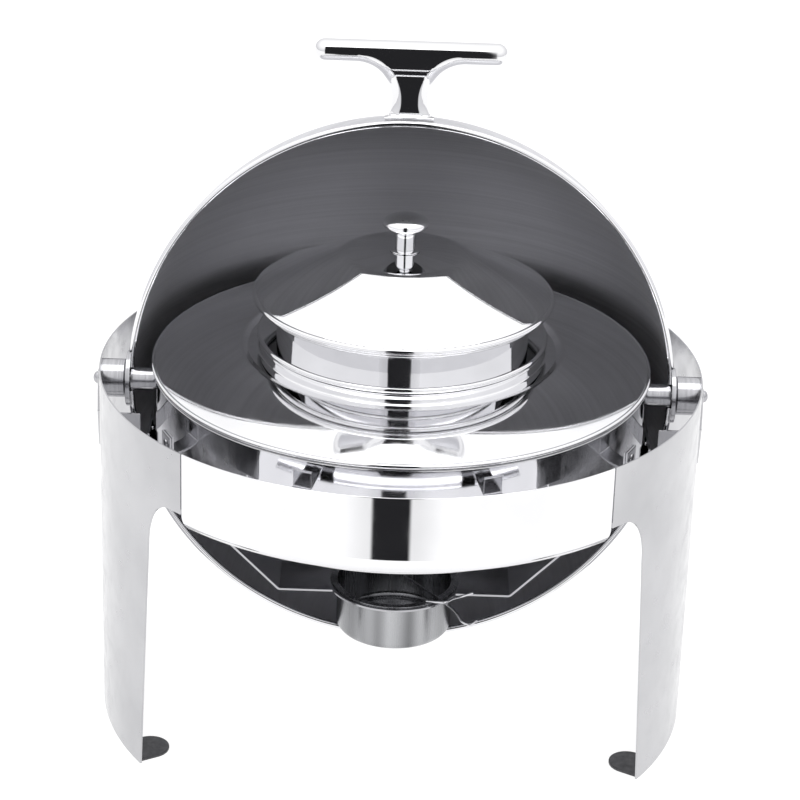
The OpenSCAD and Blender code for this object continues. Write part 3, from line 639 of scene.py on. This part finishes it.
def dome_shell():
    notch_r = SLEEVE_R + 1
    notch_a = math.degrees(math.asin(notch_r / DOME_R))
    quarter = np.r_[np.linspace(0, notch_a, 14)[:-1], np.linspace(notch_a, 90, 72)]
    turn = np.r_[quarter, 180 - quarter[::-1][1:], 180 + quarter[1:], 360 - quarter[::-1][1:-1]]

    def surface(radius):
        rows = []
        for a in np.radians(turn):
            y = radius * math.sin(a)
            low = math.asin(math.sqrt(max(0.0, notch_r**2 - y**2)) / radius)
            rise = np.linspace(low, math.pi / 2, 96)
            flat = radius * np.cos(rise)
            rows.append(np.column_stack(
                [flat * math.cos(a), flat * math.sin(a), radius * np.sin(rise)]))
        return np.vstack(rows)

    faces = grid_faces(len(turn), 96, wrap_rows=True)
    return opened(thicken(surface(DOME_R), surface(DOME_R - DOME_T), faces))


piece("roll_top_dome", [dome_shell()])
notch_half = math.degrees(math.asin((SLEEVE_R + 1) / RIM_BEAD_CIRCLE))
bead_outline = circle((RIM_BEAD_CIRCLE, 0), RIM_BEAD_R)
piece("rim_bead", [
    opened(lathe(bead_outline, 200, middle, 180 - 2 * notch_half)) for middle in (0, 180)])


def ear():
    bore, edge = PIN_R + PIN_CLEAR, 0.7
    rho = np.linspace(bore, EAR_R, 12)
    inner = np.column_stack([rho, np.sqrt(DOME_R**2 - rho**2) + 0.02])
    outline = path(inner, arc((EAR_R - edge, EAR_X - edge), edge, 0, 90, 5), [bore, EAR_X])
    return along_x(lathe(outline, 128))


piece("hinge_ear_right", [opened(ear())])
piece("hinge_ear_left", [opened(moved(ear(), scale=MIRROR_X))])


def handle_field(p):
    """T shaped casting: an inflated outline, deep along the bar and as thick as the bar below it."""
    x, u, w = np.abs(p[:, 0]), p[:, 1], p[:, 2]
    half = BAR_T / 2
    bar = np.hypot(np.maximum(x - (BAR_L / 2 - half), 0), u - (BAR_U + half)) - half
    flare = 2 * np.clip((PAD_U + 10 - u) / 10, 0, 1) ** 2
    stem = np.maximum(x - STEM_W / 2 - flare, u - (BAR_U + half))
    joined = np.maximum(STEM_FILLET, np.minimum(bar, stem)) - np.hypot(
        np.maximum(STEM_FILLET - bar, 0), np.maximum(STEM_FILLET - stem, 0))
    outline = np.where(u > BAR_U + half, bar, joined)
    clear_u = FRAME_R + 6
    up = np.clip((u - clear_u) / (BAR_U - clear_u), 0, 1)
    depth = BAR_T / 2 + (BAR_D - BAR_T) / 2 * up * up * (3 - 2 * up)
    inset = 1 + outline / half
    body = np.sqrt(np.maximum(inset, 0) ** 2.2 + (np.abs(w) / depth) ** 2.2 + 1e-9) - 1
    return np.maximum(body * half, PAD_U + 0.02 - u)


handle_low, handle_high, handle_step = (-81, PAD_U - 2, -14), (81, 291, 14), 1.1
handle_mesh = implicit(handle_field, handle_low, handle_high, handle_step)
piece("handle", [on_handle(handle_mesh)], sharp=50)


def pad():
    """Thin seat between the dome and the handle, with its underside on the sphere."""
    half_x, half_w, edge = STEM_W / 2 + 5, BAR_T / 2 + 2, 1.0
    xs, ws = np.linspace(-half_x, half_x, 37), np.linspace(-half_w, half_w, 19)
    x, w = (a.ravel() for a in np.meshgrid(xs, ws, indexing="ij"))
    inset = np.minimum(half_x - np.abs(x), half_w - np.abs(w))
    top = PAD_U - edge * (1 - np.sqrt(1 - (1 - np.clip(inset / edge, 0, 1)) ** 2))
    front = np.column_stack([x, top, w])
    back = np.column_stack([x, np.sqrt((DOME_R + 0.02) ** 2 - x**2 - w**2), w])
    return on_handle(thicken(front, back, grid_faces(len(xs), len(ws))))


piece("handle_pad", [pad()])


def screw(x, head_at, length, head_r=3.6, head_h=1.6, shank=2.0):
    """Pan head screw along the handle's own axis, head inwards."""
    outline = path([0, head_at], arc((head_r - 0.8, head_at + 0.8), 0.8, -90, 0, 5),
                   [head_r, head_at + head_h], [shank, head_at + head_h],
                   [shank, head_at + length], [0, head_at + length])
    vertices, faces = lathe(outline, 40)
    return on_handle((np.column_stack([vertices[:, 0] + x, vertices[:, 2], vertices[:, 1]]), faces))


screw_x = STEM_W * 0.45 / 2 + 1
head_at = DOME_R - DOME_T - 2.0
piece("handle_screws", [screw(x, head_at, PAD_U + 10 - head_at) for x in (-screw_x, screw_x)])

# ---- well, water pan and adaptor ----

well_line = path(
    [WELL_R - WELL_T / 2, WELL_Z - WELL_T / 2],
    [WELL_R - WELL_T / 2, WELL_BOTTOM + WELL_CORNER + 40],
    arc((WELL_R - WELL_CORNER, WELL_BOTTOM + WELL_CORNER), WELL_CORNER - WELL_T / 2, 0, -90, 28),
    [WELL_R - WELL_CORNER - WELL_FLANGE + WELL_T / 2, WELL_BOTTOM + WELL_T / 2],
)
piece("well", [lathe(sheet(well_line, WELL_T))])

bracket_line = path(
    [WELL_R + 1.05, 277], arc((WELL_R + 3.5, 265.5), 2.5, 180, 270, 6),
    arc((FRAME_RI - 3.5, 265.5), 2.5, 270, 360, 6), [FRAME_RI - 1.05, 277],
)
BRACKET_AZ = (-65, -25, 25, 65)
piece("well_brackets", [lathe(sheet(bracket_line, 2), 10, az, 5) for az in BRACKET_AZ], bevel=0.3)


def rivet(x0, x1, y, z, az):
    """Domed rivet that points away from the centre."""
    head = [(3.6 * math.cos(a), x1 + 1.8 * math.sin(a)) for a in np.radians(np.arange(0, 91, 10))]
    outline = path([0, x0], [2, x0], [2, x1], head[:-1], [0, x1 + 1.8])
    vertices, faces = along_x(lathe(outline, 40))
    turned = Matrix.Rotation(math.radians(az - 90), 4, "Z")
    return moved((vertices + np.array((0, y, z)), faces), turned)


bracket_rivet_z = 262 + 7 + 1
piece("bracket_rivets", [
    rivet(WELL_R - 1.1, WELL_R + 2, 0, bracket_rivet_z, az) for az in BRACKET_AZ])

pan_corner = WELL_CORNER - WELL_T
pan_c, pan_z = PAN_R - PAN_T / 2, PAN_BOTTOM + PAN_T / 2
pan_line = path(
    [WELL_R - 0.5, PAN_RIM_Z - 0.5], arc((pan_c + 1.5, PAN_RIM_Z - 2), 1.5, 90, 180, 6),
    arc((PAN_R - pan_corner, PAN_BOTTOM + pan_corner), pan_corner - 0.5, 0, -90, 20), [0.0, pan_z])
piece("water_pan", [lathe(sheet(pan_line, PAN_T, rounded_end=False))])

TURN, GROOVE = 6, (CREST_R - 7, CREST_Z - 3.2)
cone = math.degrees(math.atan((CREST_Z - ADAPTOR_BEAD_Z) / (ADAPTOR_CIRCLE - CREST_R)))
adaptor_line = path(
    [ADAPTOR_CIRCLE - 1.2, ADAPTOR_BEAD_Z + ADAPTOR_BEAD_R - PAN_T / 2],
    arc((CREST_R, CREST_Z - TURN), TURN - PAN_T / 2, 90 - cone, 125, 16),
    arc((GROOVE[0], GROOVE[1] + 3), 3, 305, 270, 6),
    [COLLAR_R + 3, GROOVE[1]],
    arc((COLLAR_R + 2.5, GROOVE[1] + 2.5), 2.5, 250, 180, 8),
    arc((COLLAR_R - 1.5, COLLAR_Z - 2 - PAN_T / 2), 1.5, 0, 90, 8),
    [COLLAR_R - 5, COLLAR_Z - 0.5 - PAN_T / 2],
)
piece("adaptor", [lathe(sheet(adaptor_line, PAN_T, rounded_start=False))])
piece("adaptor_bead", [lathe(circle((ADAPTOR_CIRCLE, ADAPTOR_BEAD_Z), ADAPTOR_BEAD_R))])

# ---- soup pot and its lid ----

pot_c, lip_z = POT_R - PAN_T / 2, POT_RIM_Z + POT_BEAD_R - PAN_T / 2
pot_line = path(
    [POT_CIRCLE - 1.5, lip_z], arc((pot_c + 3, lip_z - 3), 3, 90, 180, 10),
    [pot_c, POT_FLANGE_Z],
    arc((pot_c - 18, POT_BOTTOM + PAN_T / 2 + 18), 18, 0, -90, 16), [0, POT_BOTTOM + PAN_T / 2])
piece("soup_pot", [lathe(sheet(pot_line, PAN_T, rounded_start=False, rounded_end=False))])
piece("pot_rim_bead", [lathe(circle((POT_CIRCLE, POT_RIM_Z), POT_BEAD_R))])
flange_top = POT_FLANGE_Z + POT_BEAD_R
flange_turn = math.degrees(math.asin((POT_BEAD_R - PAN_T) / POT_BEAD_R))
flange_outline = path(
    [POT_R, flange_top - PAN_T], [POT_R, flange_top],
    arc((POT_CIRCLE, POT_FLANGE_Z), POT_BEAD_R, 90, -180 - flange_turn, 26))
piece("pot_flange", [lathe(flange_outline)])

crown_z = LID_RIM_Z + 2.2 + (LID_CIRCLE - CROWN_R) * slope(LID_SLOPE)
turn_c = np.array([CROWN_R - TURN_R * math.sin(math.radians(LID_SLOPE)),
                   crown_z - TURN_R * math.cos(math.radians(LID_SLOPE))])
turn_end = turn_c + TURN_R * np.array(
    [math.sin(math.radians(LID_TOP_SLOPE)), math.cos(math.radians(LID_TOP_SLOPE))])
lid_top_z = turn_end[1] + (turn_end[0] - 3) * slope(LID_TOP_SLOPE)
knob_z = lid_top_z + PAN_T / 2
lid_line = path(
    [LID_CIRCLE - 0.8, LID_RIM_Z + POT_BEAD_R - 0.4],
    [LID_CIRCLE - 4, crown_z - (LID_CIRCLE - 4 - CROWN_R) * slope(LID_SLOPE)],
    arc(turn_c, TURN_R, 90 - LID_SLOPE, 90 - LID_TOP_SLOPE, 16), [3, lid_top_z], [0, lid_top_z])
piece("pot_lid", [lathe(sheet(lid_line, PAN_T, rounded_start=False, rounded_end=False))])
piece("pot_lid_bead", [lathe(circle((LID_CIRCLE, LID_RIM_Z), POT_BEAD_R))])

stem_z = knob_z + WASHER_H
cap_z = stem_z + STEM_H
washer = path([2, knob_z + 0.02], [STEM_R + 4, knob_z - 0.4],
              arc((STEM_R + 3.5, knob_z + 0.1), 0.4, -60, 60, 4),
              [STEM_R + 1.5, stem_z - 0.02], [2, stem_z - 0.02])
piece("knob_washer", [lathe(washer, 96)])
stem = path([0, stem_z], [STEM_R - 0.4, stem_z], [STEM_R, stem_z + 0.4], [STEM_R, stem_z + 7],
            arc((STEM_R - 2.5, cap_z - 2.5), 2.5, 0, 90, 12), [0, cap_z])
piece("knob_stem", [lathe(stem, 96)])
neck, edge_z = STEM_R - 3.5, cap_z + KNOB_H / 2
under = [(KNOB_R - 7 + 7 * math.cos(a), edge_z + 5 * math.sin(a))
         for a in np.radians(np.arange(-60, 0, 6))]
over = [(KNOB_R * math.cos(a), edge_z + KNOB_H / 2 * math.sin(a))
        for a in np.radians(np.arange(0, 90, 4))]
cap = path([0, cap_z], [neck, cap_z], arc((neck + 1.6, cap_z + 1.6), 1.6, 180, 100, 5), under, over,
           [0, edge_z + KNOB_H / 2])
piece("knob_cap", [lathe(cap, 128)])
screw_head_z = lid_top_z - PAN_T / 2 - 2.0
knob_screw = path([0, screw_head_z], arc((2.8, screw_head_z + 0.8), 0.8, -90, 0, 5),
                  [3.6, screw_head_z + 1.6], [2, screw_head_z + 1.6],
                  [2, stem_z + 7], [0, stem_z + 7])
piece("knob_screw", [lathe(knob_screw, 40)])

# ---- burner ----


def strap():
    """Flat ring with two bent arms that rise round the corner of the well."""
    half_a = math.degrees(math.asin(STRAP_W / 2 / RING_R))
    z = STRAP_Z - STRAP_T / 2
    corner = np.array([WELL_R - WELL_CORNER, WELL_BOTTOM + WELL_CORNER])
    bend = WELL_CORNER + 0.1 + STRAP_T / 2
    dx, dz = corner[0] - STRAP_KNEE, corner[1] - z
    rise = math.degrees(math.atan2(dz, dx) - math.asin(bend / math.hypot(dx, dz)))
    arm = path([RING_R + 3, z], arc((STRAP_KNEE - 4 * slope(rise / 2), z + 4), 4, -90, rise - 90, 8),
               arc(corner, bend, rise - 90, 0, 14), [WELL_R + 0.1 + STRAP_T / 2, STRAP_TOP])
    normals = path_normals(arm)
    lip = np.linspace(-half_a, half_a, 25)
    between = np.linspace(half_a, 180 - half_a, 49)[1:-1]
    turn = np.radians(np.r_[lip, between, lip + 180, between + 180])
    radii = np.linspace(RING_HOLE_R, RING_R, 6)
    sides = []
    for offset in (STRAP_T / 2, -STRAP_T / 2):
        points = [(r * math.cos(a), r * math.sin(a), z + offset) for r in radii for a in turn]
        for sign in (1, -1):
            for p, n in zip(arm, normals):
                x, level = p + n * offset
                points += [
                    (sign * x, sign * RING_R * math.sin(math.radians(a)), level) for a in lip]
        sides.append(np.array(points) + np.array((0, CUP_Y, 0)))
    count, rim = len(turn), (len(radii) - 1) * len(turn)
    faces = grid_faces(len(radii), count, wrap_columns=True)
    for k, start in enumerate((0, 24 + len(between) + 1)):
        first = len(radii) * count + k * len(arm) * len(lip)
        faces += [tuple(i + first for i in f) for f in grid_faces(len(arm), len(lip))]
        edge = rim + start
        faces += [(edge + j, edge + j + 1, first + j + 1, first + j) for j in range(len(lip) - 1)]
    return thicken(*sides, faces)


piece("burner_strap", [strap()], bevel=0.25)
strap_rivet_y, strap_rivet_z, inner = 11, STRAP_TOP - 8, WELL_R - WELL_T
strap_rivet_x = math.sqrt(inner**2 - strap_rivet_y**2) + 0.1
piece("strap_rivets", [
    moved(rivet(strap_rivet_x, WELL_R + 2.1, y, strap_rivet_z, 90), scale=(s, 1, 1))
    for y in (-strap_rivet_y, strap_rivet_y) for s in (1, -1)])

cup_c = CUP_R - CUP_T / 2
cup_line = path(
    [CUP_R + 5.5, STRAP_Z + 0.5], arc((cup_c + 1.5, STRAP_Z - 1), 1.5, 90, 180, 6),
    [cup_c, STRAP_Z - 14],
    arc((CUP_R - CUP_CORNER, CUP_BOTTOM + CUP_CORNER), CUP_CORNER - 0.5, 0, -90, 18),
    [0, CUP_BOTTOM + 0.5])
piece("fuel_cup", [moved(lathe(sheet(cup_line, CUP_T, rounded_end=False), 192), shift=(0, CUP_Y, 0))])

WELD, LAP, REACH = CUP_R + 6, 2 * WIRE_R + 0.2, WIRE_REACH
grip = np.array([
    (-WELD * 0.44, WELD * 0.84, 0), (REACH * 0.16, -REACH * 0.03, 0),
    (REACH * 0.74, -REACH * 0.82, 0), (REACH * 0.89, -REACH * 1.08, -4),
    (REACH, -REACH * 1.14, -5), (REACH * 1.08, -REACH * 1.09, -3)])
tail = np.array([
    (WELD * 0.5, -WELD * 0.8, 0), (REACH * 0.66, -REACH * 0.76, LAP * 0.9),
    (REACH * 0.78, -REACH * 0.66, LAP), (REACH * 0.91, -REACH * 0.58, LAP),
    (REACH * 1.03, -REACH * 0.55, LAP + 2)])
wire_at = (0, CUP_Y, STRAP_Z + CUP_T + WIRE_R)
piece("cup_handle", [
    moved(tube(smooth_route(route), WIRE_R - 0.02), shift=wire_at) for route in (grip, tail)])

# ---- studio ----


def stage_mesh(name, vertices, material):
    mesh = bpy.data.meshes.new(name)
    mesh.from_pydata(vertices, [], [(0, 1, 2, 3)])
    mesh.materials.append(material)
    obj = bpy.data.objects.new(name, mesh)
    scene.collection.objects.link(obj)
    return obj


paper = Shader("white_paper", Metallic=0.0)
grain = paper.noise(paper.coords, 400, 3)
paper.shades(grain, (0.18, 0.18, 0.181), (0.22, 0.22, 0.221))
paper.principled.inputs["Emission Color"].default_value = (1, 1, 1, 1)
paper.principled.inputs["Emission Strength"].default_value = 0.9
paper.surface(paper.between(grain, 0.9, 1.0), paper.bump(grain, 0.00002))
half_floor = 20
stage_mesh("floor", [(-half_floor, -half_floor, 0), (half_floor, -half_floor, 0),
                     (half_floor, half_floor, 0), (-half_floor, half_floor, 0)], paper.material)

# dark slit in the front of the light tent, which only reflections see, wider above 0.2 m
slit = bpy.data.materials.new("tent_slit")
slit.use_nodes = True
links, made = slit.node_tree.links, slit.node_tree.nodes
made.clear()


def ranged(start, end, top, kind="LINEAR"):
    """A Map Range node that climbs from 0 at start to top at end."""
    node = made.new("ShaderNodeMapRange")
    node.interpolation_type = kind
    for socket, value in zip(("From Min", "From Max", "To Min", "To Max"), (start, end, 0.0, top)):
        node.inputs[socket].default_value = value
    return node


coords = made.new("ShaderNodeTexCoord")
split = made.new("ShaderNodeSeparateXYZ")
away = made.new("ShaderNodeMath")
away.operation = "ABSOLUTE"
widen = ranged(0.19, 0.21, 0.045)
offset = made.new("ShaderNodeMath")
offset.operation = "SUBTRACT"
fade = ranged(0.058, 0.074, 0.8, "SMOOTHSTEP")
halo = ranged(0.07, 0.2, 0.2, "SMOOTHSTEP")
both = made.new("ShaderNodeMath")
dark = made.new("ShaderNodeEmission")
dark.inputs["Color"].default_value = (0.02, 0.02, 0.022, 1)
clear = made.new("ShaderNodeBsdfTransparent")
mix = made.new("ShaderNodeMixShader")
out = made.new("ShaderNodeOutputMaterial")
links.new(coords.outputs["Object"], split.inputs["Vector"])
links.new(split.outputs["X"], away.inputs[0])
links.new(split.outputs["Z"], widen.inputs["Value"])
links.new(away.outputs[0], offset.inputs[0])
links.new(widen.outputs["Result"], offset.inputs[1])
links.new(offset.outputs[0], fade.inputs["Value"])
links.new(offset.outputs[0], halo.inputs["Value"])
links.new(fade.outputs["Result"], both.inputs[0])
links.new(halo.outputs["Result"], both.inputs[1])
links.new(both.outputs[0], mix.inputs["Fac"])
links.new(dark.outputs["Emission"], mix.inputs[1])
links.new(clear.outputs["BSDF"], mix.inputs[2])
links.new(mix.outputs["Shader"], out.inputs["Surface"])
card_half, card_low, card_top = 0.2, 0.001, 1.6
card = stage_mesh("tent_slit", [(-card_half, 0, card_low), (card_half, 0, card_low),
                                (card_half, 0, card_top), (-card_half, 0, card_top)], slit)
card.location = (-0.018, -0.66, 0)
card.visible_camera = card.visible_diffuse = card.visible_shadow = False

world = bpy.data.worlds.new("light_tent")
scene.world = world
world.use_nodes = True
links, made = world.node_tree.links, world.node_tree.nodes
background = made["Background"]
direction = made.new("ShaderNodeTexCoord")
split = made.new("ShaderNodeSeparateXYZ")
ramp = made.new("ShaderNodeValToRGB")
ramp.color_ramp.elements[0].position = 0.0
ramp.color_ramp.elements[0].color = (0.62, 0.62, 0.64, 1)
ramp.color_ramp.elements[1].position = 0.75
ramp.color_ramp.elements[1].color = (1, 1, 1, 1)
links.new(direction.outputs["Generated"], split.inputs["Vector"])
links.new(split.outputs["Z"], ramp.inputs["Fac"])
links.new(ramp.outputs["Color"], background.inputs["Color"])
background.inputs["Strength"].default_value = 1.25

softbox = bpy.data.lights.new("softbox", "AREA")
softbox.shape = "RECTANGLE"
softbox.size, softbox.size_y, softbox.energy = 2.4, 1.8, 26
lamp = bpy.data.objects.new("softbox", softbox)
lamp.location = (0, -0.2, 2.8)
scene.collection.objects.link(lamp)

camera = bpy.data.cameras.new("camera")
camera.lens, camera.sensor_width = 125.8, 36
camera.clip_start, camera.clip_end = 0.05, 100
viewer = bpy.data.objects.new("camera", camera)
viewer.matrix_world = Matrix((
    (0.9995, -0.0321, -0.0001, -0.0005),
    (0.0131, 0.4128, -0.9107, -2.1290),
    (0.0293, 0.9102, 0.4130, 1.2404),
    (0, 0, 0, 1),
))
scene.collection.objects.link(viewer)
scene.camera = viewer
scene.view_settings.view_transform = "Standard"

bpy.context.view_layer.update()
